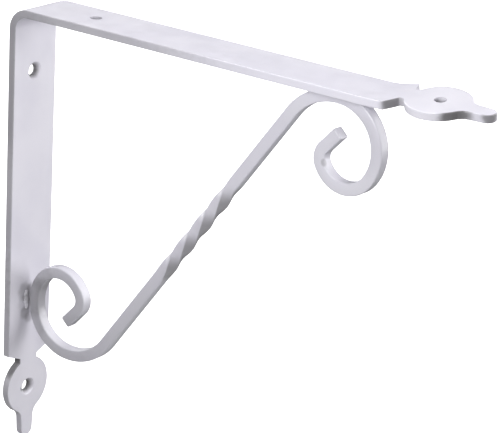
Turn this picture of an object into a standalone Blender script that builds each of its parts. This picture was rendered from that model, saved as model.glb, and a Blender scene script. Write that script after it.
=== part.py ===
"""Wrought iron shelf bracket: a bent flat bar with stamped finials, braced by a twisted square bar with two scrolls.

Metres, +Z up. +X points from the wall into the room and Y runs along the wall. The origin lies on the wall face,
midway between the two screw holes of the wall leg.
"""

from math import asin, atan2, cos, pi, radians, sin, sqrt

import bmesh
import bpy

# Flat bar
BAR_WIDTH = 0.025
BAR_THICKNESS = 0.0032
BEND_RADIUS = 0.009  # outer face of the bend
SHELF_LEG = 0.1795  # wall face to the shoulder of the finial
WALL_LEG = 0.1516  # shelf face to the shoulder of the finial
EDGE_ROUND = 0.0005

# Finial, measured along the bar from its shoulder
FINIAL_LENGTH = 0.040
SHOULDER_SLOPE = 0.003
NECK_HALF = 0.0054
DISC_RADIUS = 0.0125
DISC_CENTRE = 0.0163
TAB_HALF = 0.0037  # where the tab leaves the disc
TAB_FILLET = 0.005
TIP_RADIUS = 0.0034

# Screw holes, countersunk on the side that the screws enter from
HOLE_RADIUS = 0.0024
SINK_RADIUS = 0.0038
SINK_DEPTH = 0.0014
WALL_HOLE = 0.0284  # shelf face to the upper hole of the wall leg
SHELF_HOLE = 0.0349  # wall face to the inner hole of the shelf leg
FINIAL_HOLE = 0.0170  # shoulder to the hole in the disc

# The shelf leg's finial isn't quite flat: its far edge is set up out of the leg's plane, and its near edge stays in it
SET_START = -0.012  # from the shoulder
SET_LENGTH = 0.024
SET_ROLL = radians(8.3)
SET_RISE = 0.0019

# Square bar of the brace, along its centre line
SQUARE_SIDE = 0.005
SQUARE_CHAMFER = 0.0006
SLOPE = radians(54.1)
BRACE_MIDDLE_X = 0.0900  # wall face to the middle of the diagonal
BRACE_MIDDLE_DROP = 0.0761  # shelf face to the middle of the diagonal
SCROLL_RADII = (0.0249, 0.0185, 0.0124, 0.0064)  # from the diagonal inwards
SCROLL_TURNS = (radians(59.5), radians(120.5), radians(117.6), radians(69.3))
SCROLL_END = 0.009  # straight run up to the cut end
TWIST_LENGTH = 0.062
TWIST_ANGLE = -2 * pi  # left-handed
TWIST_SHIFT = 0.0017  # from the middle of the diagonal, towards the shelf
TWIST_EASE = 0.12  # share of the twist's length in which it starts, and in which it stops
WELD_RADIUS = 0.0019

# Clearances and facets
GAP = 0.0003
ARC_STEP = radians(9)
SCROLL_STEP = radians(6)
TWIST_STEPS = 56
BEND_STEPS = 10
SET_STEPS = 12
HOLE_SIDES = 28

# Worked out from the sizes above
SHELF_Z = (WALL_HOLE + WALL_LEG + FINIAL_HOLE) / 2
BEND_MID_RADIUS = BEND_RADIUS - BAR_THICKNESS / 2
BEND_LENGTH = pi / 2 * BEND_MID_RADIUS
SHELF_SHOULDER = BEND_LENGTH / 2 + SHELF_LEG - BEND_RADIUS  # along the flat blank, from mid-bend
WALL_SHOULDER = BEND_LENGTH / 2 + WALL_LEG - BEND_RADIUS


def clear_scene():
    """Remove every object of the scene."""
    for obj in list(bpy.data.objects):
        bpy.data.objects.remove(obj, do_unlink=True)


def new_collection(name, hidden=False):
    """Return a new collection linked to the scene."""
    collection = bpy.data.collections.new(name)
    bpy.context.scene.collection.children.link(collection)
    collection.hide_render = hidden
    return collection


def painted_steel(name, colour, roughness):
    """Return a Principled material for coated steel."""
    material = bpy.data.materials.new(name)
    material.use_nodes = True
    shader = material.node_tree.nodes["Principled BSDF"]
    shader.inputs["Base Color"].default_value = (*colour, 1.0)
    shader.inputs["Roughness"].default_value = roughness
    shader.inputs["Metallic"].default_value = 0.0
    return material


def evaluated_mesh(obj, name, merge_flat):
    """Return the object's evaluated mesh, with loose caps welded, its faces turned out and flat areas merged."""
    bpy.context.view_layer.update()
    graph = bpy.context.evaluated_depsgraph_get()
    mesh = bpy.data.meshes.new_from_object(obj.evaluated_get(graph))
    mesh.name = name
    bm = bmesh.new()
    bm.from_mesh(mesh)
    bmesh.ops.remove_doubles(bm, verts=bm.verts, dist=1e-6)
    if merge_flat:
        bmesh.ops.dissolve_limit(bm, angle_limit=radians(0.5), verts=bm.verts, edges=bm.edges)
    bmesh.ops.recalc_face_normals(bm, faces=bm.faces)
    bm.to_mesh(mesh)
    bm.free()
    return mesh


def replace_with_mesh(obj, collection, merge_flat=False):
    """Swap an object for a mesh object of its evaluated shape, at the same place."""
    name = obj.name
    place = obj.matrix_world.copy()
    mesh = evaluated_mesh(obj, name, merge_flat)
    bpy.data.objects.remove(obj, do_unlink=True)
    solid = bpy.data.objects.new(name, mesh)
    solid.matrix_world = place
    collection.objects.link(solid)
    return solid


def poly_curve(name, points, dimensions, cyclic, collection):
    """Return a curve object through the points, as straight segments."""
    curve = bpy.data.curves.new(name, "CURVE")
    curve.dimensions = dimensions
    spline = curve.splines.new("POLY")
    spline.points.add(len(points) - 1)
    for slot, point in zip(spline.points, points):
        slot.co = (*point, 1.0)
    spline.use_cyclic_u = cyclic
    obj = bpy.data.objects.new(name, curve)
    collection.objects.link(obj)
    return obj


def add_boolean(obj, operand, operation):
    """Join or cut an object with another."""
    modifier = obj.modifiers.new(f"{operation.lower()}_{operand.name}", "BOOLEAN")
    modifier.operation = operation
    modifier.solver = "EXACT"
    modifier.object = operand


def smooth(obj, material):
    """Give a finished piece its material and smooth shading between its sharp edges."""
    obj.data.materials.append(material)
    obj.data.shade_smooth()
    obj.data.set_sharp_from_angle(angle=radians(30))


def arc(centre, radius, start, turn, step=ARC_STEP):
    """Return the points of an arc, both ends included; a positive turn is anticlockwise."""
    steps = max(2, round(abs(turn) / step))
    angles = [start + turn * i / steps for i in range(steps + 1)]
    return [(centre[0] + radius * cos(a), centre[1] + radius * sin(a)) for a in angles]


def finial_half_outline():
    """Return (distance past the shoulder, half width) from the shoulder to the tip of the tab."""
    neck_angle = pi - asin(NECK_HALF / DISC_RADIUS)
    fillet_height = TAB_HALF + TAB_FILLET
    fillet_run = sqrt((DISC_RADIUS + TAB_FILLET) ** 2 - fillet_height**2)
    fillet_angle = atan2(fillet_height, fillet_run)
    neck = [(0.0, BAR_WIDTH / 2), (SHOULDER_SLOPE, NECK_HALF)]
    disc = arc((DISC_CENTRE, 0.0), DISC_RADIUS, neck_angle, fillet_angle - neck_angle)
    fillet_centre = (DISC_CENTRE + fillet_run, fillet_height)
    fillet = arc(fillet_centre, TAB_FILLET, pi + fillet_angle, pi / 2 - fillet_angle)
    tip = arc((FINIAL_LENGTH - TIP_RADIUS, 0.0), TIP_RADIUS, pi / 2, -pi / 2)
    return neck + disc + fillet[1:] + tip


def blank_outline():
    """Return the outline of the flat blank: +X runs to the shelf end and -X to the wall end."""
    half = finial_half_outline()
    tip_to_shoulder = half[-2::-1]
    shelf_end = [(SHELF_SHOULDER + s, w) for s, w in half]
    shelf_end += [(SHELF_SHOULDER + s, -w) for s, w in tip_to_shoulder]
    wall_end = [(-WALL_SHOULDER - s, -w) for s, w in half]
    wall_end += [(-WALL_SHOULDER - s, w) for s, w in tip_to_shoulder]
    return shelf_end + wall_end


def hole_cutter(name, position, collection):
    """Return a screw hole's cutter: a straight bore that widens to its countersink below."""
    half = BAR_THICKNESS / 2
    past = 0.0005
    wide = SINK_RADIUS + past * (SINK_RADIUS - HOLE_RADIUS) / SINK_DEPTH
    profile = [
        (0.0, half + past),
        (HOLE_RADIUS, half + past),
        (HOLE_RADIUS, SINK_DEPTH - half),
        (wide, -half - past),
        (0.0, -half - past),
    ]
    mesh = bpy.data.meshes.new(name)
    edges = [(i, i + 1) for i in range(len(profile) - 1)]
    mesh.from_pydata([(r, 0.0, z) for r, z in profile], edges, [])
    cutter = bpy.data.objects.new(name, mesh)
    collection.objects.link(cutter)
    cutter.location.x = position
    turn = cutter.modifiers.new("turn", "SCREW")
    turn.steps = HOLE_SIDES
    turn.render_steps = HOLE_SIDES
    turn.use_merge_vertices = True
    turn.merge_threshold = 1e-6
    cutter.hide_render = True
    cutter.display_type = "WIRE"
    return cutter


def bend_point(along, across, out):
    """Return where a point of the flat blank lies after the bend; out is measured towards wall and shelf."""
    radius = BEND_MID_RADIUS + out
    bend_z = SHELF_Z - BEND_RADIUS
    if along <= -BEND_LENGTH / 2:
        return (BEND_RADIUS - radius, across, bend_z + along + BEND_LENGTH / 2)
    if along >= BEND_LENGTH / 2:
        x = BEND_RADIUS + along - BEND_LENGTH / 2
        share = min(max((along - SHELF_SHOULDER - SET_START) / SET_LENGTH, 0.0), 1.0)
        ease = share * share * (3 - 2 * share)
        roll = SET_ROLL * ease
        top = BAR_THICKNESS / 2
        y = across * cos(roll) - (out - top) * sin(roll)
        z = across * sin(roll) + (out - top) * cos(roll) + SET_RISE * ease
        return (x, y, SHELF_Z + z)
    angle = (along + BEND_LENGTH / 2) / BEND_MID_RADIUS
    return (BEND_RADIUS - radius * cos(angle), across, bend_z + radius * sin(angle))


def build_flat_bar(collection, cutters, material):
    """Build the flat bar: the blank is cut out, its edges rounded, its holes made, and then it is bent."""
    points = [(x, y, 0.0) for x, y in blank_outline()]
    blank = poly_curve("flat_bar_angle", points, "2D", True, collection)
    blank.data.fill_mode = "BOTH"
    blank.data.extrude = BAR_THICKNESS / 2
    bar = replace_with_mesh(blank, collection, merge_flat=True)
    edges = bar.modifiers.new("rounded_edges", "BEVEL")
    edges.width = EDGE_ROUND
    edges.segments = 2
    edges.limit_method = "ANGLE"
    edges.angle_limit = radians(40)
    mid_to_wall_face = BEND_RADIUS - BEND_LENGTH / 2
    holes = {
        "wall_hole": mid_to_wall_face - WALL_HOLE,
        "wall_finial_hole": -WALL_SHOULDER - FINIAL_HOLE,
        "shelf_hole": SHELF_HOLE - mid_to_wall_face,
        "shelf_finial_hole": SHELF_SHOULDER + FINIAL_HOLE,
    }
    for name, position in holes.items():
        add_boolean(bar, hole_cutter(name, position, cutters), "DIFFERENCE")
    bar = replace_with_mesh(bar, collection)
    for name in holes:
        bpy.data.objects.remove(bpy.data.objects[name], do_unlink=True)
    bm = bmesh.new()
    bm.from_mesh(bar.data)
    stations = [BEND_LENGTH * (i / BEND_STEPS - 0.5) for i in range(BEND_STEPS + 1)]
    stations += [SHELF_SHOULDER + SET_START + SET_LENGTH * i / SET_STEPS for i in range(SET_STEPS + 1)]
    for station in stations:
        everything = bm.verts[:] + bm.edges[:] + bm.faces[:]
        bmesh.ops.bisect_plane(bm, geom=everything, plane_co=(station, 0, 0), plane_no=(1, 0, 0))
    for vert in bm.verts:
        vert.co = bend_point(*vert.co)
    bmesh.ops.recalc_face_normals(bm, faces=bm.faces)
    bm.to_mesh(bar.data)
    bm.free()
    smooth(bar, material)
    return bar


def eased(share):
    """Return how much of the twist is done at this share of its length, with a soft start and stop."""
    full_rate = 1 / (1 - TWIST_EASE)
    if share < TWIST_EASE:
        return full_rate * share**2 / (2 * TWIST_EASE)
    if share > 1 - TWIST_EASE:
        return 1 - full_rate * (1 - share) ** 2 / (2 * TWIST_EASE)
    return full_rate * (share - TWIST_EASE / 2)


def scroll_points(start, heading):
    """Return one scroll's centre line in the X-Z plane, from the diagonal in to the cut end."""
    points = [start]
    for radius, turn in zip(SCROLL_RADII, SCROLL_TURNS):
        side = heading - pi / 2
        x, z = points[-1]
        centre = (x + radius * cos(side), z + radius * sin(side))
        points += arc(centre, radius, side + pi, -turn, SCROLL_STEP)[1:]
        heading -= turn
    x, z = points[-1]
    points.append((x + SCROLL_END * cos(heading), z + SCROLL_END * sin(heading)))
    return points


def brace_path():
    """Return the brace's centre line as (x, z, tilt), from the cut end at the wall to the one at the shelf.

    The scroll is tangent to the shelf leg's underside, which settles the length of the diagonal, and the two
    halves are the same shape turned by half a turn about the middle.
    """
    middle_z = SHELF_Z - BRACE_MIDDLE_DROP
    top_z = SHELF_Z - BAR_THICKNESS - GAP - SQUARE_SIDE / 2
    crown = SCROLL_RADII[0] * (1 - cos(SLOPE))
    half_run = (top_z - middle_z - crown) / sin(SLOPE)
    end_x = half_run * cos(SLOPE)
    end_z = half_run * sin(SLOPE)
    upper = scroll_points((end_x, end_z), SLOPE)
    path = [(-x, -z, 0.0) for x, z in reversed(upper)]
    for i in range(TWIST_STEPS + 1):
        share = i / TWIST_STEPS
        run = TWIST_SHIFT + TWIST_LENGTH * (share - 0.5)
        path.append((run * cos(SLOPE), run * sin(SLOPE), TWIST_ANGLE * eased(share)))
    path += [(x, z, TWIST_ANGLE) for x, z in upper]
    return [(BRACE_MIDDLE_X + x, middle_z + z, tilt) for x, z, tilt in path]


def square_profile(name, collection):
    """Return the square bar's section as a closed curve with chamfered corners."""
    half = SQUARE_SIDE / 2
    cut = half - SQUARE_CHAMFER
    corners = [(half, cut), (cut, half)]
    points = []
    for turn in range(4):
        for x, y in corners:
            for _ in range(turn):
                x, y = -y, x
            points.append((x, y, 0.0))
    profile = poly_curve(name, points, "2D", True, collection)
    profile.data.fill_mode = "NONE"
    profile.hide_render = True
    return profile


def build_brace(collection, cutters, material):
    """Build the brace: a square bar swept along both scrolls, twisted between them, with its weld at the wall leg."""
    path = brace_path()
    profile = square_profile("square_section", cutters)
    rail = poly_curve("scroll_brace", [(x, 0.0, z) for x, z, _ in path], "3D", False, collection)
    rail.data.twist_mode = "MINIMUM"
    rail.data.bevel_mode = "OBJECT"
    rail.data.bevel_object = profile
    rail.data.use_fill_caps = True
    for slot, (_, _, tilt) in zip(rail.data.splines[0].points, path):
        slot.tilt = tilt
    brace = replace_with_mesh(rail, collection)
    bpy.data.objects.remove(profile, do_unlink=True)
    nearest_x, nearest_z, _ = min(path)
    weld_start = BAR_THICKNESS + GAP
    bpy.ops.mesh.primitive_cylinder_add(
        vertices=HOLE_SIDES,
        radius=WELD_RADIUS,
        depth=nearest_x - weld_start,
        location=((nearest_x + weld_start) / 2, 0.0, nearest_z),
        rotation=(0.0, pi / 2, 0.0),
    )
    weld = bpy.context.object
    weld.name = "weld"
    add_boolean(brace, weld, "UNION")
    brace = replace_with_mesh(brace, collection)
    bpy.data.objects.remove(weld, do_unlink=True)
    smooth(brace, material)
    return brace


def build():
    """Build the bracket."""
    clear_scene()
    bracket = new_collection("shelf_bracket")
    cutters = new_collection("cutters", hidden=True)
    bar_coat = painted_steel("flat_bar_coat", (0.80, 0.79, 0.83), 0.38)
    brace_coat = painted_steel("brace_coat", (0.80, 0.79, 0.83), 0.38)
    build_flat_bar(bracket, cutters, bar_coat)
    build_brace(bracket, cutters, brace_coat)


build()
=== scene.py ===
"""Looks of a white-painted wrought iron shelf bracket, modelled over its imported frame.

Metres, +Z up. +X points from the wall into the room and Y runs along the wall. The origin lies on the
wall face, midway between the two screw holes of the wall leg.
"""

import logging
from collections.abc import Callable, Iterator
from contextlib import contextmanager
from dataclasses import dataclass, field
from enum import Enum
from math import asin, atan2, cos, pi, radians, sin, sqrt

import bmesh
import bpy
from mathutils import Matrix, Vector


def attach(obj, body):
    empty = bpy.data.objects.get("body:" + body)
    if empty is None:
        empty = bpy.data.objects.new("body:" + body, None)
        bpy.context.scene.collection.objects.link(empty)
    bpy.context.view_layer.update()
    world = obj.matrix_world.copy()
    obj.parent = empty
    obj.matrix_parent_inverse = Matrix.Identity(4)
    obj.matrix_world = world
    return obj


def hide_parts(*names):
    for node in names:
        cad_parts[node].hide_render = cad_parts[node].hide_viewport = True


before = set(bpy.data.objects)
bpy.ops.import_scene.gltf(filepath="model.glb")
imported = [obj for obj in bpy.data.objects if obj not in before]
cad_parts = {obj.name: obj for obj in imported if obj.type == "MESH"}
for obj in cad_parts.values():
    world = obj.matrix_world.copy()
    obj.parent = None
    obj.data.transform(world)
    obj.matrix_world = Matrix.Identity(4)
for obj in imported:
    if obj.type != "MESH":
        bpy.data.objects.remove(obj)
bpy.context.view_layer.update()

Point = tuple[float, float, float]
FlatPoint = tuple[float, float]
Colour = tuple[float, float, float]

FACET_SHADE = "facet_shade"  # attribute of the brace's points: painted shade on the twist facets that turn down, away from the light
JOIN_REACH = 1e-5  # points closer than this are one

log = logging.getLogger("shelf_bracket")


class Pick(Enum):
    """What a selection in edit mode is made of."""

    VERTICES = "VERT"
    EDGES = "EDGE"
    FACES = "FACE"


class Leg(Enum):
    """The two legs of the flat bar."""

    SHELF = "shelf"
    WALL = "wall"


class BarSlot(Enum):
    """Material slots of the flat bar, in order."""

    ROLLED_FACE = 0
    SHEARED_SIDE = 1
    ROUNDED_EDGE = 2
    SCREW_HOLE = 3


def select_only(*objects: bpy.types.Object) -> None:
    """Select these objects alone, the first one active.

    Args:
        objects: The objects to select.
    """
    bpy.ops.object.select_all(action="DESELECT")
    for obj in objects:
        obj.select_set(True)
    bpy.context.view_layer.objects.active = objects[0]


@contextmanager
def editing(obj: bpy.types.Object) -> Iterator[None]:
    """Hold one object in edit mode, with all of it selected at the start.

    Args:
        obj: The mesh object to edit.
    """
    select_only(obj)
    bpy.ops.object.mode_set(mode="EDIT")
    bpy.ops.mesh.select_mode(type=Pick.VERTICES.value)
    bpy.ops.mesh.select_all(action="SELECT")
    try:
        yield
    finally:
        bpy.ops.object.mode_set(mode="OBJECT")


def pick(obj: bpy.types.Object, kind: Pick, test: Callable[[Vector], bool]) -> None:
    """Select, in edit mode, what has all of its corners pass a test.

    Args:
        obj: The object being edited.
        kind: Whether edges or faces are picked.
        test: Says of a corner's place whether it passes.
    """
    bpy.ops.mesh.select_mode(type=kind.value)
    bpy.ops.mesh.select_all(action="DESELECT")
    shape = bmesh.from_edit_mesh(obj.data)
    for part in shape.edges if kind is Pick.EDGES else shape.faces:
        if all(test(corner.co) for corner in part.verts):
            part.select_set(True)
    bmesh.update_edit_mesh(obj.data)


def extrude(move: Point) -> None:
    """Extrude the selection in edit mode and move it by a distance."""
    bpy.ops.mesh.extrude_region_move(TRANSFORM_OT_translate={"value": move})


def apply_modifiers(obj: bpy.types.Object) -> None:
    """Apply every modifier of an object, from the top of its stack.

    Args:
        obj: The object.
    """
    select_only(obj)
    for modifier in list(obj.modifiers):
        bpy.ops.object.modifier_apply(modifier=modifier.name)


def place_in_mesh(obj: bpy.types.Object) -> None:
    """Move an object's place, turn and size into its mesh."""
    select_only(obj)
    bpy.ops.object.transform_apply(location=True, rotation=True, scale=True)


def arc(centre: FlatPoint, radius: float, start: float, turn: float, steps: int) -> list[FlatPoint]:
    """Work out an arc in a plane.

    Args:
        centre: The arc's centre.
        radius: Its radius.
        start: The angle at which it starts.
        turn: The angle it goes through, anticlockwise if positive.
        steps: How many chords it has.

    Returns:
        Its points, both ends included.
    """
    angles = [start + turn * i / steps for i in range(steps + 1)]
    return [(centre[0] + radius * cos(a), centre[1] + radius * sin(a)) for a in angles]


# Finishes


def new_group(
    name: str, inputs: dict[str, tuple[str, object]], outputs: dict[str, str]
) -> bpy.types.ShaderNodeTree:
    """Make an empty shader node group with named sockets.

    Args:
        name: The group's name.
        inputs: Socket type and first value of each input, by name.
        outputs: Socket type of each output, by name.

    Returns:
        The group, with its input and output nodes named "in" and "out".
    """
    group = bpy.data.node_groups.new(name, "ShaderNodeTree")
    for socket, (kind, value) in inputs.items():
        made = group.interface.new_socket(name=socket, in_out="INPUT", socket_type=kind)
        if value is not None:
            made.default_value = value
    for socket, kind in outputs.items():
        group.interface.new_socket(name=socket, in_out="OUTPUT", socket_type=kind)
    group.nodes.new("NodeGroupInput").name = "in"
    group.nodes.new("NodeGroupOutput").name = "out"
    return group


class Wiring:
    """Adds nodes to a shader tree and joins them."""

    def __init__(self, tree: bpy.types.ShaderNodeTree) -> None:
        """Keep the tree to add to."""
        self.tree = tree

    def node(self, kind: str, **settings: object) -> bpy.types.Node:
        """Add a node.

        Args:
            kind: The node's type.
            settings: Its properties, or its inputs' values where the name is an input's.

        Returns:
            The node.
        """
        made = self.tree.nodes.new(kind)
        for name, value in settings.items():
            if hasattr(made, name):
                setattr(made, name, value)
            else:
                made.inputs[name.replace("_", " ").title()].default_value = value
        return made

    def join(self, source: bpy.types.NodeSocket, target: bpy.types.NodeSocket) -> None:
        """Link an output to an input."""
        self.tree.links.new(source, target)

    def noise(self, vector: bpy.types.NodeSocket, scale: float, detail: float) -> bpy.types.NodeSocket:
        """Add a noise pattern.

        Args:
            vector: Where the pattern is read.
            scale: Its scale, in cycles per metre.
            detail: How many finer octaves it has.

        Returns:
            Its value, about 0.5 on average.
        """
        made = self.node("ShaderNodeTexNoise", scale=scale, detail=detail)
        self.join(vector, made.inputs["Vector"])
        return made.outputs["Fac"]

    def math(self, operation: str, first: object, second: object) -> bpy.types.NodeSocket:
        """Add a sum of two values, each a socket or a number.

        Args:
            operation: The name of the sum, as in Blender's Math node.
            first: The first value.
            second: The second value.

        Returns:
            The result.
        """
        made = self.node("ShaderNodeMath", operation=operation)
        for socket, value in zip(made.inputs, (first, second)):
            if isinstance(value, bpy.types.NodeSocket):
                self.join(value, socket)
            else:
                socket.default_value = value
        return made.outputs["Value"]

    def span(
        self, value: bpy.types.NodeSocket, low: float, high: float, start: float = 0.0, end: float = 1.0
    ) -> bpy.types.NodeSocket:
        """Stretch a range of values over another, softly and clamped.

        Args:
            value: The value to read.
            low: Where the range starts.
            high: Where it ends.
            start: What its start becomes.
            end: What its end becomes.

        Returns:
            The new value.
        """
        made = self.node("ShaderNodeMapRange", interpolation_type="SMOOTHSTEP")
        self.join(value, made.inputs["Value"])
        for socket, number in zip(("From Min", "From Max", "To Min", "To Max"), (low, high, start, end)):
            made.inputs[socket].default_value = number
        return made.outputs["Result"]

    def blend(self, share: bpy.types.NodeSocket, first: object, second: object) -> bpy.types.NodeSocket:
        """Mix two colours, each a socket or a colour.

        Args:
            share: How much of the second shows.
            first: The first colour.
            second: The second colour.

        Returns:
            The mixed colour.
        """
        made = self.node("ShaderNodeMix", data_type="RGBA")
        self.join(share, made.inputs["Factor"])
        for socket, value in zip(made.inputs[6:8], (first, second)):  # the two colours
            if isinstance(value, bpy.types.NodeSocket):
                self.join(value, socket)
            else:
                socket.default_value = (*value, 1.0)
        return made.outputs[2]


def paint_film_group() -> bpy.types.ShaderNodeTree:
    """Build the look of sprayed paint: cloudy tone, orange peel and shallow hammer marks.

    Returns:
        The node group.
    """
    group = new_group(
        "paint_film",
        {
            "Vector": ("NodeSocketVector", None),
            "Coat": ("NodeSocketColor", (0.8, 0.8, 0.8, 1.0)),
            "Cloud": ("NodeSocketColor", (0.7, 0.7, 0.7, 1.0)),
            "Gloss": ("NodeSocketFloat", 0.35),
            "Hammer": ("NodeSocketFloat", 1.0),
        },
        {"Colour": "NodeSocketColor", "Roughness": "NodeSocketFloat", "Height": "NodeSocketFloat"},
    )
    wiring = Wiring(group)
    given, out = group.nodes["in"].outputs, group.nodes["out"].inputs
    place = given["Vector"]
    cloud = wiring.span(wiring.noise(place, scale=38.0, detail=3.0), low=0.35, high=0.68)
    speckle = wiring.span(wiring.noise(place, scale=900.0, detail=2.0), low=0.55, high=0.75, end=0.25)
    clouded = wiring.math("MAXIMUM", cloud, speckle)
    wiring.join(wiring.blend(clouded, given["Coat"], given["Cloud"]), out["Colour"])
    mottle = wiring.noise(place, scale=210.0, detail=3.0)
    uneven = wiring.span(mottle, low=0.3, high=0.7, start=-0.07, end=0.09)
    wiring.join(wiring.math("ADD", given["Gloss"], uneven), out["Roughness"])
    peel = wiring.math("MULTIPLY", wiring.noise(place, scale=620.0, detail=2.0), 0.10)
    dent = wiring.math("MULTIPLY", wiring.noise(place, scale=95.0, detail=1.0), 0.9)
    wiring.join(wiring.math("ADD", peel, wiring.math("MULTIPLY", dent, given["Hammer"])), out["Height"])
    return group


def edge_wear_group() -> bpy.types.ShaderNodeTree:
    """Build a broken mask for the places where paint is thin or rubbed through.

    Returns:
        The node group. Its Amount goes from 0, no wear, to 1, mostly worn.
    """
    group = new_group(
        "edge_wear",
        {"Vector": ("NodeSocketVector", None), "Amount": ("NodeSocketFloat", 0.2)},
        {"Mask": "NodeSocketFloat"},
    )
    wiring = Wiring(group)
    given, out = group.nodes["in"].outputs, group.nodes["out"].inputs
    broad = wiring.math("MULTIPLY", wiring.noise(given["Vector"], scale=140.0, detail=3.0), 0.7)
    fine = wiring.math("MULTIPLY", wiring.noise(given["Vector"], scale=1300.0, detail=2.0), 0.3)
    broken = wiring.math("ADD", broad, fine)
    worn = wiring.math("ADD", broken, wiring.math("MULTIPLY", given["Amount"], 0.5))
    wiring.join(wiring.span(worn, low=0.66, high=0.74), out["Mask"])
    return group


def shade_patch_group() -> bpy.types.ShaderNodeTree:
    """Build a soft round mask about a point, for a patch of painted shade.

    Returns:
        The node group.
    """
    group = new_group(
        "shade_patch",
        {
            "Vector": ("NodeSocketVector", None),
            "Centre": ("NodeSocketVector", (0.0, 0.0, 0.0)),
            "Reach": ("NodeSocketFloat", 0.006),
            "Strength": ("NodeSocketFloat", 1.0),
        },
        {"Mask": "NodeSocketFloat"},
    )
    wiring = Wiring(group)
    given, out = group.nodes["in"].outputs, group.nodes["out"].inputs
    apart = wiring.node("ShaderNodeVectorMath", operation="DISTANCE")
    wiring.join(given["Vector"], apart.inputs[0])
    wiring.join(given["Centre"], apart.inputs[1])
    share = wiring.math("DIVIDE", apart.outputs["Value"], given["Reach"])
    ripple = wiring.math("MULTIPLY", wiring.noise(given["Vector"], scale=420.0, detail=2.0), 0.3)
    faded = wiring.span(wiring.math("ADD", share, ripple), low=0.65, high=1.25, start=1.0, end=0.0)
    wiring.join(wiring.math("MULTIPLY", faded, given["Strength"]), out["Mask"])
    return group


@dataclass(frozen=True)
class ShadePatch:
    """A patch of painted shade: its centre, how far it reaches and how dark it is."""

    centre: Point
    reach: float
    strength: float


@dataclass(frozen=True)
class PaintFinish:
    """One painted surface of the bracket."""

    name: str
    coat: Colour = (0.79, 0.775, 0.845)
    cloud: Colour = (0.735, 0.72, 0.80)
    under: Colour = (0.16, 0.155, 0.16)  # the colour of the painted shade
    rubbed: Colour = (0.50, 0.49, 0.53)  # the primer where the coat is rubbed
    gloss: float = 0.36  # roughness, about which it varies
    hammer: float = 1.0
    wear: float = 0.0
    # share of painted shade on the brace's down-turned twist facets
    facet_shade: float = 0.0
    bump: float = 0.00022
    lacquer: float = 0.25
    lacquer_roughness: float = 0.22
    refraction: float = 1.5
    patches: tuple[ShadePatch, ...] = ()

    def material(self, groups: dict[str, bpy.types.ShaderNodeTree]) -> bpy.types.Material:
        """Make the finish's material.

        Args:
            groups: The shared node groups, by name.

        Returns:
            The material.
        """
        made = bpy.data.materials.new(self.name)
        made.use_nodes = True
        made.diffuse_color = (*self.coat, 1.0)
        tree = made.node_tree
        shader = tree.nodes["Principled BSDF"]
        shader.inputs["Metallic"].default_value = 0.0
        shader.inputs["Coat Weight"].default_value = self.lacquer
        shader.inputs["Coat Roughness"].default_value = self.lacquer_roughness
        shader.inputs["IOR"].default_value = self.refraction
        wiring = Wiring(tree)
        place = wiring.node("ShaderNodeTexCoord").outputs["Object"]
        film = self._placed(wiring, groups["paint_film"], place)
        film.inputs["Coat"].default_value = (*self.coat, 1.0)
        film.inputs["Cloud"].default_value = (*self.cloud, 1.0)
        film.inputs["Gloss"].default_value = self.gloss
        film.inputs["Hammer"].default_value = self.hammer
        colour = film.outputs["Colour"]
        if self.wear > 0.0:
            worn = self._placed(wiring, groups["edge_wear"], place)
            worn.inputs["Amount"].default_value = self.wear
            colour = wiring.blend(worn.outputs["Mask"], colour, self.rubbed)
        # painted shade on the twist facets that turn down, away from the light
        if self.facet_shade > 0.0:
            mask = wiring.node("ShaderNodeAttribute", attribute_name=FACET_SHADE).outputs["Fac"]
            colour = wiring.blend(wiring.math("MULTIPLY", mask, self.facet_shade), colour, self.under)
        # patches of painted shade, blended towards the shade colour
        for patch in self.patches:
            thin = self._placed(wiring, groups["shade_patch"], place)
            thin.inputs["Centre"].default_value = patch.centre
            thin.inputs["Reach"].default_value = patch.reach
            thin.inputs["Strength"].default_value = patch.strength
            colour = wiring.blend(thin.outputs["Mask"], colour, self.under)
        wiring.join(colour, shader.inputs["Base Color"])
        wiring.join(film.outputs["Roughness"], shader.inputs["Roughness"])
        bump = wiring.node("ShaderNodeBump")
        bump.inputs["Distance"].default_value = self.bump
        bump.inputs["Strength"].default_value = 1.0
        wiring.join(film.outputs["Height"], bump.inputs["Height"])
        wiring.join(bump.outputs["Normal"], shader.inputs["Normal"])
        return made

    @staticmethod
    def _placed(
        wiring: Wiring, group: bpy.types.ShaderNodeTree, place: bpy.types.NodeSocket
    ) -> bpy.types.Node:
        """Add a shared group to the material, reading the surface's place.

        Args:
            wiring: The material's wiring.
            group: The group to add.
            place: The Object coordinates.

        Returns:
            The group's node.
        """
        made = wiring.node("ShaderNodeGroup", node_tree=group)
        wiring.join(place, made.inputs["Vector"])
        return made


# Pieces


@dataclass(frozen=True)
class Layout:
    """Where the bracket's two legs lie."""

    shelf_z: float = 0.0985  # shelf face above the origin
    bar_thickness: float = 0.0032
    shelf_leg: float = 0.1795  # wall face to the shoulder of the finial
    wall_leg: float = 0.1516  # shelf face to the shoulder of the finial


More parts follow.
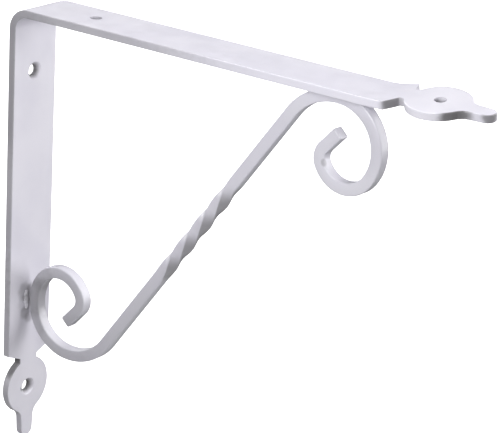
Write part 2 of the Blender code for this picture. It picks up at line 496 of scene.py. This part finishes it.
@dataclass(frozen=True)
class Finial:
    """The rounded end of a leg, in plan, measured along the leg from its shoulder."""

    width: float = 0.025
    shoulder_slope: float = 0.003
    neck_half: float = 0.0054
    disc_radius: float = 0.0125
    disc_centre: float = 0.0163
    tab_half: float = 0.0037
    tab_fillet: float = 0.005
    tip_radius: float = 0.0034
    length: float = 0.040
    hole: float = 0.0170
    disc_steps: int = 44
    fillet_steps: int = 12
    tip_steps: int = 10

    def outline(self) -> list[FlatPoint]:
        """Work out the whole outline, from one shoulder corner round the tip to the other.

        Returns:
            (distance past the shoulder, place across) of each point.
        """
        neck_angle = pi - asin(self.neck_half / self.disc_radius)
        rise = self.tab_half + self.tab_fillet
        run = sqrt((self.disc_radius + self.tab_fillet) ** 2 - rise**2)
        meet = atan2(rise, run)
        half = [(0.0, self.width / 2), (self.shoulder_slope, self.neck_half)]
        middle = (self.disc_centre, 0.0)
        half += arc(middle, self.disc_radius, neck_angle, meet - neck_angle, self.disc_steps)
        fillet = arc(
            (self.disc_centre + run, rise), self.tab_fillet, pi + meet, pi / 2 - meet, self.fillet_steps
        )
        half += fillet[1:]
        half += arc(
            (self.length - self.tip_radius, 0.0), self.tip_radius, pi / 2, -pi / 2, self.tip_steps
        )
        return half + [(along, -across) for along, across in half[-2::-1]]


@dataclass
class FlatBar:
    """The flat bar, bent to a right angle, with a finial on each leg."""

    layout: Layout
    finial: Finial = field(default_factory=Finial)
    bend_radius: float = 0.009
    bend_steps: int = 16
    edge_round: float = 0.0005
    edge_segments: int = 3
    edge_angle: float = radians(40)
    smooth_angle: float = radians(32)
    hole_sides: int = 48
    hole_radius: float = 0.0024
    sink_radius: float = 0.0038
    sink_depth: float = 0.0014
    wall_hole: float = 0.0284
    shelf_hole: float = 0.0349
    set_start: float = -0.012
    set_length: float = 0.024
    set_roll: float = radians(8.3)
    set_rise: float = 0.0019
    set_steps: int = 16

    def build(self) -> bpy.types.Object:
        """Model the bar as a sheet, then give it its thickness, rounded edges and holes.

        Returns:
            The finished piece, without materials.
        """
        bar = self._finial_sheet("painted_flat_bar", Leg.SHELF)
        self._run_legs(bar)
        self._join(bar, self._finial_sheet("wall_finial_sheet", Leg.WALL))
        self._set_shelf_finial(bar)
        self._thicken(bar)
        for name, place, leg in self._holes():
            self._cut_hole(bar, name, place, leg)
        select_only(bar)
        bpy.ops.object.shade_smooth_by_angle(angle=self.smooth_angle)
        weighted = bar.modifiers.new("weighted_normals", "WEIGHTED_NORMAL")
        weighted.keep_sharp = True
        apply_modifiers(bar)
        return bar

    def _finial_sheet(self, name: str, leg: Leg) -> bpy.types.Object:
        """Trace a finial as a filled ring of points, on the outer face of its leg.

        Args:
            name: The object's name.
            leg: The leg it ends.

        Returns:
            The flat sheet.
        """
        outline = self.finial.outline()
        bpy.ops.mesh.primitive_circle_add(
            vertices=len(outline), radius=self.finial.disc_radius, fill_type="NGON"
        )
        sheet = bpy.context.object
        sheet.name = name
        with editing(sheet):
            ring = bmesh.from_edit_mesh(sheet.data)
            for vert, (along, across) in zip(ring.verts, outline):
                if leg is Leg.SHELF:
                    vert.co = (self.layout.shelf_leg + along, across, self.layout.shelf_z)
                else:
                    vert.co = (0.0, across, self.layout.shelf_z - self.layout.wall_leg - along)
            bmesh.update_edit_mesh(sheet.data)
        return sheet

    def _run_legs(self, bar: bpy.types.Object) -> None:
        """Draw the shoulder's edge out along the shelf leg, round the bend and down the wall leg.

        Args:
            bar: The shelf leg's finial, as a sheet.
        """
        shoulder = self.layout.shelf_leg
        with editing(bar):
            pick(bar, Pick.EDGES, lambda co: abs(co.x - shoulder) < JOIN_REACH)
            extrude((self.bend_radius - shoulder, 0.0, 0.0))
            centre = (self.bend_radius, 0.0, self.layout.shelf_z - self.bend_radius)
            bpy.ops.mesh.spin(steps=self.bend_steps, angle=pi / 2, center=centre, axis=(0.0, 1.0, 0.0))
            extrude((0.0, 0.0, self.bend_radius - self.layout.wall_leg))

    def _join(self, bar: bpy.types.Object, finial: bpy.types.Object) -> None:
        """Weld the wall leg's finial to the sheet and turn every face outwards.

        Args:
            bar: The sheet of both legs.
            finial: The wall leg's finial, which goes into it.
        """
        select_only(bar, finial)
        bpy.ops.object.join()
        with editing(bar):
            bpy.ops.mesh.remove_doubles(threshold=JOIN_REACH)
            bpy.ops.mesh.normals_make_consistent(inside=False)
            shape = bmesh.from_edit_mesh(bar.data)
            top = max(shape.faces, key=lambda face: face.calc_center_median().z)
            if top.normal.z < 0.0:
                bpy.ops.mesh.flip_normals()

    def _set_shelf_finial(self, bar: bpy.types.Object) -> None:
        """Raise and roll the shelf leg's finial, over a stretch about its shoulder.

        Args:
            bar: The sheet of both legs.
        """
        start = self.layout.shelf_leg + self.set_start
        with editing(bar):
            for i in range(self.set_steps + 1):
                bpy.ops.mesh.select_all(action="SELECT")
                cut = start + self.set_length * i / self.set_steps
                bpy.ops.mesh.bisect(plane_co=(cut, 0.0, 0.0), plane_no=(1.0, 0.0, 0.0))
            shape = bmesh.from_edit_mesh(bar.data)
            for vert in shape.verts:
                share = min(max((vert.co.x - start) / self.set_length, 0.0), 1.0)
                ease = share * share * (3 - 2 * share)
                across = vert.co.y
                vert.co.y = across * cos(self.set_roll * ease)
                vert.co.z += across * sin(self.set_roll * ease) + self.set_rise * ease
            bmesh.update_edit_mesh(bar.data)

    def _thicken(self, bar: bpy.types.Object) -> None:
        """Give the sheet the bar's thickness and round its edges.

        Args:
            bar: The sheet of both legs.
        """
        solid = bar.modifiers.new("thickness", "SOLIDIFY")
        solid.thickness = self.layout.bar_thickness
        solid.offset = -1.0
        solid.use_even_offset = True
        solid.use_quality_normals = True
        solid.material_offset_rim = BarSlot.SHEARED_SIDE.value
        edges = bar.modifiers.new("rounded_edges", "BEVEL")
        edges.width = self.edge_round
        edges.segments = self.edge_segments
        edges.limit_method = "ANGLE"
        edges.angle_limit = self.edge_angle
        edges.material = BarSlot.ROUNDED_EDGE.value
        for _ in BarSlot:
            bar.data.materials.append(None)
        apply_modifiers(bar)

    def _holes(self) -> list[tuple[str, float, Leg]]:
        """List the screw holes.

        Returns:
            (name, distance from the bend's outer corner, leg) of each hole.
        """
        return [
            ("wall_hole", self.wall_hole, Leg.WALL),
            ("wall_finial_hole", self.layout.wall_leg + self.finial.hole, Leg.WALL),
            ("shelf_hole", self.shelf_hole, Leg.SHELF),
            ("shelf_finial_hole", self.layout.shelf_leg + self.finial.hole, Leg.SHELF),
        ]

    def _cut_hole(self, bar: bpy.types.Object, name: str, place: float, leg: Leg) -> None:
        """Cut one countersunk hole, from the inner face of its leg outwards.

        Args:
            bar: The bar.
            name: The cutter's name.
            place: Distance from the bend's outer corner, along the leg.
            leg: The leg that it goes through.
        """
        past = self.edge_round  # the cutter stands out this far on both sides
        slope = (self.sink_radius - self.hole_radius) / self.sink_depth
        wide = self.sink_radius + past * slope
        bpy.ops.mesh.primitive_circle_add(vertices=self.hole_sides, radius=wide, fill_type="NGON")
        cutter = bpy.context.object
        cutter.name = name
        with editing(cutter):
            extrude((0.0, 0.0, past + self.sink_depth))
            shrink = self.hole_radius / wide
            bpy.ops.transform.resize(value=(shrink, shrink, 1.0))
            extrude((0.0, 0.0, self.layout.bar_thickness - self.sink_depth + past))
            bpy.ops.mesh.select_all(action="SELECT")
            bpy.ops.mesh.normals_make_consistent(inside=False)
        reach = self.layout.bar_thickness + past
        if leg is Leg.WALL:
            turn = Matrix.Rotation(-pi / 2, 4, "Y")
            move = Matrix.Translation((reach, 0.0, self.layout.shelf_z - place))
        else:
            ended = place > self.layout.shelf_leg
            turn = Matrix.Rotation(self.set_roll if ended else 0.0, 4, "X")
            lift = self.set_rise if ended else 0.0
            down = turn @ Vector((0.0, 0.0, -reach))
            move = Matrix.Translation(Vector((place, 0.0, self.layout.shelf_z + lift)) + down)
        cutter.matrix_world = move @ turn
        place_in_mesh(cutter)
        for _ in BarSlot:
            cutter.data.materials.append(None)
        for face in cutter.data.polygons:
            face.material_index = BarSlot.SCREW_HOLE.value
        cut = bar.modifiers.new(name, "BOOLEAN")
        cut.operation = "DIFFERENCE"
        cut.solver = "EXACT"
        cut.object = cutter
        apply_modifiers(bar)
        bpy.data.objects.remove(cutter, do_unlink=True)


@dataclass
class ScrollBrace:
    """The square bar: a twisted diagonal that curls into a scroll at each end."""

    layout: Layout
    side: float = 0.005
    corner: float = 0.0006
    corner_segments: int = 3
    end_corner: float = 0.00042
    end_segments: int = 2
    slope: float = radians(54.1)
    middle_x: float = 0.0900
    middle_drop: float = 0.0761
    radii: tuple[float, ...] = (0.0249, 0.0185, 0.0124, 0.0064)
    turns: tuple[float, ...] = (radians(59.5), radians(120.5), radians(117.6), radians(69.3))
    end_run: float = 0.009
    twist_length: float = 0.062
    twist_turn: float = -2 * pi  # left-handed
    twist_shift: float = 0.0017
    twist_ease: float = 0.12
    twist_steps: int = 48  # to each side of its middle
    facet_shade_start: float = 0.15  # how far a point turns down before the painted shade starts
    facet_shade_span: float = 0.55
    facet_shade_fade: float = 0.15  # share of the half twist over which that dies away
    spin_step: float = radians(4)
    smooth_angle: float = radians(50)
    gap: float = 0.0003

    def half_run(self) -> float:
        """Work out the half length of the diagonal, which lets the scrolls just touch the legs.

        Returns:
            The distance from its middle to the start of a scroll.
        """
        top_drop = self.layout.bar_thickness + self.gap + self.side / 2
        crown = self.radii[0] * (1 - cos(self.slope))
        return (self.middle_drop - top_drop - crown) / sin(self.slope)

    def crown(self) -> Vector:
        """Work out where the upper scroll's centre line runs closest to the shelf leg.

        Returns:
            The place.
        """
        along = self.half_run()
        side = self.slope - pi / 2
        x = self.middle_x + along * cos(self.slope) + self.radii[0] * cos(side)
        top_drop = self.layout.bar_thickness + self.gap + self.side / 2
        return Vector((x, 0.0, self.layout.shelf_z - top_drop))

    def wall_touch(self) -> Vector:
        """Work out where the lower scroll's centre line runs closest to the wall leg.

        Returns:
            The place.
        """
        along = self.half_run()
        heading = self.slope - self.turns[0]
        side, turned = self.slope - pi / 2, heading - pi / 2
        x = along * cos(self.slope) + self.radii[0] * (cos(side) - cos(turned))
        z = along * sin(self.slope) + self.radii[0] * (sin(side) - sin(turned))
        x += self.radii[1] * (cos(turned) + 1)
        z += self.radii[1] * sin(turned)
        return Vector((self.middle_x - x, 0.0, self.layout.shelf_z - self.middle_drop - z))

    def build(self) -> bpy.types.Object:
        """Model both halves upright from the middle of the twist, join them and lean the bar.

        Returns:
            The finished piece, without materials.
        """
        upper = self._half("painted_scroll_brace", self.half_run() - self.twist_shift)
        lower = self._half("lower_half", self.half_run() + self.twist_shift)
        lower.matrix_world = Matrix.Rotation(pi, 4, "Y")
        place_in_mesh(lower)
        select_only(upper, lower)
        bpy.ops.object.join()
        with editing(upper):
            bpy.ops.mesh.remove_doubles(threshold=JOIN_REACH)
            bpy.ops.mesh.normals_make_consistent(inside=False)
        shift = self.twist_shift
        middle = (
            self.middle_x + shift * cos(self.slope),
            0.0,
            self.layout.shelf_z - self.middle_drop + shift * sin(self.slope),
        )
        upper.matrix_world = Matrix.Translation(middle) @ Matrix.Rotation(pi / 2 - self.slope, 4, "Y")
        place_in_mesh(upper)
        # painted shade on the twist facets that turn down, away from the light
        self._paint_facet_shade(upper, Vector(middle))
        bpy.ops.object.shade_smooth_by_angle(angle=self.smooth_angle)
        return upper

    def _paint_facet_shade(self, brace: bpy.types.Object, middle: Vector) -> None:
        """Note at each point of the twist how far it turns down, away from the light, as painted shade.

        Args:
            brace: The brace, in place.
            middle: The middle of its twist.
        """
        along = Vector((cos(self.slope), 0.0, sin(self.slope)))
        away = Vector((sin(self.slope), 0.0, -cos(self.slope)))
        note = brace.data.attributes.new(FACET_SHADE, "FLOAT", "POINT")
        for point in brace.data.vertices:
            reach = abs((point.co - middle).dot(along)) / (self.twist_length / 2)
            turned = (point.normal.dot(away) - self.facet_shade_start) / self.facet_shade_span
            inside = (1.0 - reach) / self.facet_shade_fade
            note.data[point.index].value = min(max(turned, 0.0), 1.0) * min(max(inside, 0.0), 1.0)

    def _half(self, name: str, run: float) -> bpy.types.Object:
        """Model one half, from the middle of the twist up to the cut end of its scroll.

        Args:
            name: The object's name.
            run: Distance from the middle of the twist to the start of the scroll.

        Returns:
            The half, open at the twist's middle.
        """
        bpy.ops.mesh.primitive_plane_add(size=self.side)
        half = bpy.context.object
        half.name = name
        with editing(half):
            bpy.ops.mesh.bevel(offset=self.corner, segments=self.corner_segments, affect="VERTICES")
            bpy.ops.mesh.select_all(action="SELECT")
            self._twist(run)
            self._curl(half, run)
            pick(half, Pick.FACES, lambda co: abs(co.z) < JOIN_REACH)
            bpy.ops.mesh.delete(type="FACE")
        return half

    def _twist(self, run: float) -> None:
        """Draw the section up through half of the twist and on to the start of the scroll.

        Args:
            run: Height at which the scroll starts.
        """
        step = self.twist_length / 2 / self.twist_steps
        turned = 0.0
        for i in range(1, self.twist_steps + 1):
            extrude((0.0, 0.0, step))
            target = self.twist_turn * (self._eased(0.5 + i / self.twist_steps / 2) - 0.5)
            bpy.ops.transform.rotate(
                value=turned - target, orient_axis="Z", center_override=(0.0, 0.0, step * i)
            )
            turned = target
        extrude((0.0, 0.0, run - self.twist_length / 2))

    def _curl(self, half: bpy.types.Object, run: float) -> None:
        """Spin the section round the scroll's four arcs and on to its softened cut end.

        Args:
            half: The half being modelled.
            run: Height at which the scroll starts.
        """
        x, z, heading = 0.0, run, pi / 2
        for radius, turn in zip(self.radii, self.turns):
            side = heading - pi / 2
            centre = (x + radius * cos(side), z + radius * sin(side))
            bpy.ops.mesh.spin(
                steps=round(turn / self.spin_step),
                angle=-turn,
                center=(centre[0], 0.0, centre[1]),
                axis=(0.0, 1.0, 0.0),
            )
            heading -= turn
            x = centre[0] + radius * cos(heading + pi / 2)
            z = centre[1] + radius * sin(heading + pi / 2)
        extrude((self.end_run * cos(heading), 0.0, self.end_run * sin(heading)))
        bpy.ops.mesh.region_to_loop()
        bpy.ops.mesh.bevel(offset=self.end_corner, segments=self.end_segments, affect="EDGES")

    def _eased(self, share: float) -> float:
        """Work out how much of the twist is done at a share of its length, with a soft start and stop.

        Args:
            share: The share of the twist's length.

        Returns:
            The share of its turn.
        """
        full_rate = 1 / (1 - self.twist_ease)
        if share > 1 - self.twist_ease:
            return 1 - full_rate * (1 - share) ** 2 / (2 * self.twist_ease)
        return full_rate * (share - self.twist_ease / 2)


@dataclass
class WeldBead:
    """A short weld bead: overlapping ripples, fused and softened under the paint."""

    name: str
    start: Vector
    end: Vector
    radius: float = 0.0013
    ripples: int = 8
    wobble: float = 0.00018
    flat: float = 1.0  # its thickness away from the wall, as a share of its width
    taper: float = 0.35  # how much thinner its ends are
    grain: float = 0.00022  # size of the cells that fuse it
    softening: int = 5

    def build(self) -> bpy.types.Object:
        """Model the bead as a row of balls, and fuse them.

        Returns:
            The finished piece, without materials.
        """
        balls = []
        for i in range(self.ripples):
            share = i / (self.ripples - 1)
            swell = 1.0 - self.taper * abs(2 * share - 1) ** 3
            bpy.ops.mesh.primitive_uv_sphere_add(segments=20, ring_count=12, radius=self.radius * swell)
            ball = bpy.context.object
            drift = Vector((sin(3.1 * i), cos(2.3 * i), sin(1.7 * i + 1.0))) * self.wobble
            ball.scale = (self.flat, 1.0, 1.0)
            ball.location = self.start.lerp(self.end, share) + drift
            place_in_mesh(ball)
            balls.append(ball)
        select_only(*balls)
        bpy.ops.object.join()
        bead = bpy.context.object
        bead.name = self.name
        fuse = bead.modifiers.new("fuse", "REMESH")
        fuse.mode = "VOXEL"
        fuse.voxel_size = self.grain
        soften = bead.modifiers.new("soften", "SMOOTH")
        soften.factor = 0.5
        soften.iterations = self.softening
        apply_modifiers(bead)
        bpy.ops.object.shade_smooth()
        return bead


# Stage


@dataclass(frozen=True)
class Softbox:
    """A square soft light that faces the bracket."""

    name: str
    place: Point
    size: float
    watts: float
    mirrored: bool = True  # whether glossy paint shows it

    def build(self, target: Point) -> None:
        """Hang the light.

        Args:
            target: The place it faces.
        """
        data = bpy.data.lights.new(self.name, "AREA")
        data.shape = "SQUARE"
        data.size = self.size
        data.energy = self.watts
        made = bpy.data.objects.new(self.name, data)
        made.location = self.place
        aim = Vector(target) - Vector(self.place)
        made.rotation_euler = aim.to_track_quat("-Z", "Y").to_euler()
        made.visible_camera = False
        made.visible_glossy = self.mirrored
        bpy.context.scene.collection.objects.link(made)


@dataclass
class Studio:
    """A pale floor, soft lights and the camera."""

    camera_place: Point = (0.59857, -0.66319, 0.32378)
    camera_turn: float = radians(36.06)
    camera_height: float = radians(19.35)
    camera_roll: float = radians(3.26)
    focal_pixels: float = 2256.97
    image_width: int = 500
    sensor_width: float = 36.0
    view_end: float = 20.0  # how far the camera sees
    floor_z: float = -0.118
    floor_size: float = 12.0
    floor_tone: float = 0.97
    floor_roughness: float = 0.9
    floor_glow: float = 0.9
    room_glow: float = 0.06  # the even light of the room, which the camera sees as white
    target: Point = (0.09, 0.0, 0.02)
    softboxes: tuple[Softbox, ...] = (
        Softbox("overhead_softbox", (0.15, 0.1, 1.6), size=1.6, watts=27.0, mirrored=False),
        Softbox("near_softbox", (0.19, -0.29, 0.165), size=0.14, watts=0.87),
        Softbox("far_softbox", (0.80, 0.62, 0.25), size=0.8, watts=7.6),
        Softbox("rear_softbox", (-0.9, 0.3, 0.2), size=0.8, watts=4.5),
        Softbox("floor_bounce", (0.1, 0.0, -0.7), size=1.2, watts=3.0),
    )

    def camera(self) -> None:
        """Place the camera and make it the scene's."""
        turn, height, roll = self.camera_turn, self.camera_height, self.camera_roll
        back = Vector((sin(turn) * cos(height), -cos(turn) * cos(height), sin(height)))
        right = Vector((cos(turn), sin(turn), 0.0))
        up = back.cross(right)
        right, up = cos(roll) * right + sin(roll) * up, cos(roll) * up - sin(roll) * right
        data = bpy.data.cameras.new("studio_camera")
        data.sensor_width = self.sensor_width
        data.sensor_fit = "HORIZONTAL"
        data.lens = self.focal_pixels * self.sensor_width / self.image_width
        data.clip_end = self.view_end
        made = bpy.data.objects.new("studio_camera", data)
        turned = Matrix((right, up, back)).transposed().to_4x4()
        made.matrix_world = Matrix.Translation(self.camera_place) @ turned
        bpy.context.scene.collection.objects.link(made)
        bpy.context.scene.camera = made

    def floor(self) -> None:
        """Lay a wide pale floor below the bracket."""
        bpy.ops.mesh.primitive_plane_add(size=self.floor_size, location=(0.0, 0.0, self.floor_z))
        made = bpy.context.object
        made.name = "studio_floor"
        material = bpy.data.materials.new("studio_floor_white")
        material.use_nodes = True
        shader = material.node_tree.nodes["Principled BSDF"]
        shader.inputs["Base Color"].default_value = (*(self.floor_tone,) * 3, 1.0)
        shader.inputs["Roughness"].default_value = self.floor_roughness
        shader.inputs["Emission Color"].default_value = (1.0, 1.0, 1.0, 1.0)
        shader.inputs["Emission Strength"].default_value = self.floor_glow
        made.data.materials.append(material)
        made.visible_diffuse = False
        made.visible_glossy = False

    def lights(self) -> None:
        """Set the soft lights and the room's even light."""
        for softbox in self.softboxes:
            softbox.build(self.target)
        world = bpy.data.worlds.new("studio_room")
        world.use_nodes = True
        wiring = Wiring(world.node_tree)
        seen = wiring.node("ShaderNodeLightPath").outputs["Is Camera Ray"]
        background = world.node_tree.nodes["Background"]
        background.inputs["Color"].default_value = (1.0, 1.0, 1.0, 1.0)
        wiring.join(wiring.math("MAXIMUM", seen, self.room_glow), background.inputs["Strength"])
        bpy.context.scene.world = world
        bpy.context.scene.view_settings.view_transform = "Standard"

    def build(self) -> None:
        """Set up the whole stage."""
        self.camera()
        self.floor()
        self.lights()


# Assembly


@dataclass
class Marks:
    """Where shade is painted into the coat, as the photograph shows it."""

    layout: Layout
    near_side: float = -0.0125  # y of the bar's near side
    brace_face: float = -0.0025  # y of the brace's near face
    wall_middle: float = 0.0016  # x of the middle of the wall leg
    wall_face: float = 0.0032  # x of its face towards the room

    @property
    def shoulder(self) -> float:
        """Give the x of the shelf finial's shoulder."""
        return self.layout.shelf_leg

    @property
    def top(self) -> float:
        """Give the z of the shelf leg's upper face."""
        return self.layout.shelf_z

    @property
    def below_top(self) -> float:
        """Give the z of a level inside the shelf leg, just below its upper face."""
        return self.layout.shelf_z - 0.0010

    @property
    def foot(self) -> float:
        """Give the z of the wall finial's shoulder."""
        return self.layout.shelf_z - self.layout.wall_leg

    def sheared_sides(self) -> tuple[ShadePatch, ...]:
        """List the painted shade on the finials' rims and down the wall leg's near side.

        Returns:
            The marks.
        """
        wall, side = self.wall_middle, self.near_side
        return (
            # painted shade on the finials' rims that face away from the light
            ShadePatch((self.shoulder + 0.0020, -0.0085, self.below_top), 0.0052, 0.82),
            ShadePatch((self.shoulder + 0.0274, -0.0064, self.below_top), 0.0070, 0.92),
            ShadePatch((self.shoulder + 0.0396, -0.0025, self.top + 0.0010), 0.0042, 0.72),
            ShadePatch((wall, -0.0080, self.foot - 0.0055), 0.0066, 0.75),
            # painted shade down the wall leg's near side and round the bend, fading along the shelf leg
            ShadePatch((wall, side, 0.0750), 0.1150, 0.38),
            ShadePatch((wall, side, 0.0680), 0.0380, 0.30),
            ShadePatch((wall, side, -0.0450), 0.0420, 0.28),
        )

    def rolled_faces(self) -> tuple[ShadePatch, ...]:
        """List the painted shadows about the wall weld, the painted shade beside the lower screw hole
        and the shelf finial's painted grey.

        Returns:
            The marks.
        """
        face = self.wall_face
        return (
            # painted contact shadows on the wall leg, above and below where the lower scroll meets it
            ShadePatch((face, -0.0034, -0.0254), 0.0048, 0.40),
            ShadePatch((face, 0.0005, -0.0255), 0.0034, 0.42),
            ShadePatch((face, -0.0030, -0.0354), 0.0035, 0.40),
            ShadePatch((face, -0.0036, -0.0308), 0.0044, 0.20),
            ShadePatch((face, -0.0002, -0.0375), 0.0034, 0.35),
            # painted shade on the left flank of the wall finial hole's countersink
            ShadePatch((face, -0.0034, self.foot - 0.0170), 0.0016, 0.6),
            # painted shade greying the shelf finial's top
            ShadePatch((self.shoulder + 0.0200, 0.0, self.top + 0.0020), 0.0220, 0.10),
        )

    def screw_holes(self) -> tuple[ShadePatch, ...]:
        """List the painted shade on the walls of the four screw holes.

        Returns:
            The marks.
        """
        heights, distances = (self.top - 0.0284, self.foot - 0.0170), (0.0349, self.shoulder + 0.0170)
        # painted shade in the holes: dark in the wall leg's holes, grey in the shelf leg's
        dark = tuple(ShadePatch((0.0012, 0.0, z), 0.0040, 0.9) for z in heights)
        grey = tuple(ShadePatch((x, 0.0, self.below_top), 0.0046, 0.35) for x in distances)
        return dark + grey

    def brace(self) -> tuple[ShadePatch, ...]:
        """List the painted shade about the lower joint, the painted shade in the upper scroll's bend and
        both scrolls' painted grey.

        Returns:
            The marks.
        """
        face = self.brace_face
        return (
            # painted shade on the lower scroll, darkest beside its joint with the wall leg
            ShadePatch((0.0080, face, -0.0262), 0.0110, 0.54),
            ShadePatch((0.0080, face, -0.0390), 0.0080, 0.26),
            ShadePatch((0.0240, face, -0.0300), 0.0260, 0.14),
            ShadePatch((0.0125, face, -0.0180), 0.0078, 0.22),
            # painted shade in the upper scroll's inner bend, then a light painted shade over the upper
            # scroll
            ShadePatch((0.1500, face, 0.0663), 0.0018, 0.40),
            ShadePatch((0.1640, face, 0.0770), 0.0160, 0.10),
        )

    def welds(self) -> tuple[ShadePatch, ...]:
        """List the painted shade on the wall welds."""
        # painted shade on the wall weld beads, which sit in the joint's shade
        return (ShadePatch((0.0040, 0.0, -0.0272), 0.0062, 0.66),)


@dataclass
class Bracket:
    """The whole bracket, dressed."""

    layout: Layout = field(default_factory=Layout)
    shelf_weld_sunk: float = 0.0002  # its middle below the brace's top
    shelf_weld_clear: float = 0.0003  # and out from the brace's side
    shelf_weld_ends: FlatPoint = (-0.005, 0.006)  # along the leg from where the brace is closest
    wall_weld_upper: FlatPoint = (0.0033, 0.0034)  # its upper end, across and up from that place
    wall_weld_lower: FlatPoint = (0.0029, -0.0032)

    def finishes(self) -> dict[str, bpy.types.Material]:
        """Make every finish of the bracket.

        Returns:
            The materials, by name.
        """
        made = (paint_film_group(), edge_wear_group(), shade_patch_group())
        groups = {group.name: group for group in made}
        marks = Marks(self.layout)
        wanted = [
            PaintFinish("rolled_face_paint", patches=marks.rolled_faces()),
            PaintFinish("sheared_side_paint", gloss=0.42, bump=0.0003, patches=marks.sheared_sides()),
            PaintFinish("rounded_edge_paint", gloss=0.33, hammer=0.5, patches=marks.sheared_sides()),
            PaintFinish("screw_hole_paint", gloss=0.5, wear=0.1, patches=marks.screw_holes()),
            PaintFinish(
                "brace_paint",
                coat=(0.74, 0.73, 0.795),
                hammer=0.8,
                # strength of the painted shade on the twist's down-turned facets
                facet_shade=0.62,
                patches=marks.brace(),
            ),
            PaintFinish(
                "weld_paint",
                coat=(0.73, 0.72, 0.78),
                gloss=0.6,
                hammer=0.8,
                wear=0.03,
                patches=marks.welds(),
            ),
        ]
        return {finish.name: finish.material(groups) for finish in wanted}

    def dress(self, piece: bpy.types.Object, slot: str, *materials: bpy.types.Material) -> None:
        """Give a piece its materials, and tell the frame what it rides on.

        Args:
            piece: The piece.
            slot: The material slot that it takes its finish from; not used.
            materials: Its materials, in the order of its slots.
        """
        if not piece.data.materials:
            for _ in materials:
                piece.data.materials.append(None)
        for i, material in enumerate(materials):
            piece.data.materials[i] = material
        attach(piece, "root")
        log.info("%s: %d faces", piece.name, len(piece.data.polygons))

    def welds(self, brace: ScrollBrace) -> list[WeldBead]:
        """Place the weld beads, two under the shelf leg and two at the wall leg.

        Args:
            brace: The brace that they hold.

        Returns:
            The beads.
        """
        crown, touch = brace.crown(), brace.wall_touch()
        under = crown.z + brace.side / 2 - self.shelf_weld_sunk
        beside = (self.layout.bar_thickness + touch.x - brace.side / 2) / 2
        beads = []
        for side, across in (("near", -1.0), ("far", 1.0)):
            y = across * (brace.side / 2 + self.shelf_weld_clear)
            back, front = (Vector((crown.x + run, y, under)) for run in self.shelf_weld_ends)
            beads.append(WeldBead(f"shelf_weld_{side}", back, front))
            upper, lower = (
                Vector((beside, across * out, touch.z + rise))
                for out, rise in (self.wall_weld_upper, self.wall_weld_lower)
            )
            beads.append(WeldBead(f"wall_weld_{side}", upper, lower, radius=0.0014, ripples=7, flat=0.7))
        return beads

    def build(self) -> None:
        """Build and dress every piece."""
        looks = self.finishes()
        bar = FlatBar(self.layout).build()
        self.dress(
            bar,
            "flat_bar_coat",
            looks["rolled_face_paint"],
            looks["sheared_side_paint"],
            looks["rounded_edge_paint"],
            looks["screw_hole_paint"],
        )
        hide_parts("flat_bar_angle")
        maker = ScrollBrace(self.layout)
        brace = maker.build()
        self.dress(brace, "brace_coat", looks["brace_paint"])
        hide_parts("scroll_brace")
        for bead in self.welds(maker):
            self.dress(bead.build(), "brace_coat", looks["weld_paint"])


def main() -> None:
    """Build the bracket and its stage."""
    logging.basicConfig(level=logging.INFO, format="%(name)s: %(message)s")
    Bracket().build()
    Studio().build()


if __name__ == "__main__":
    main()
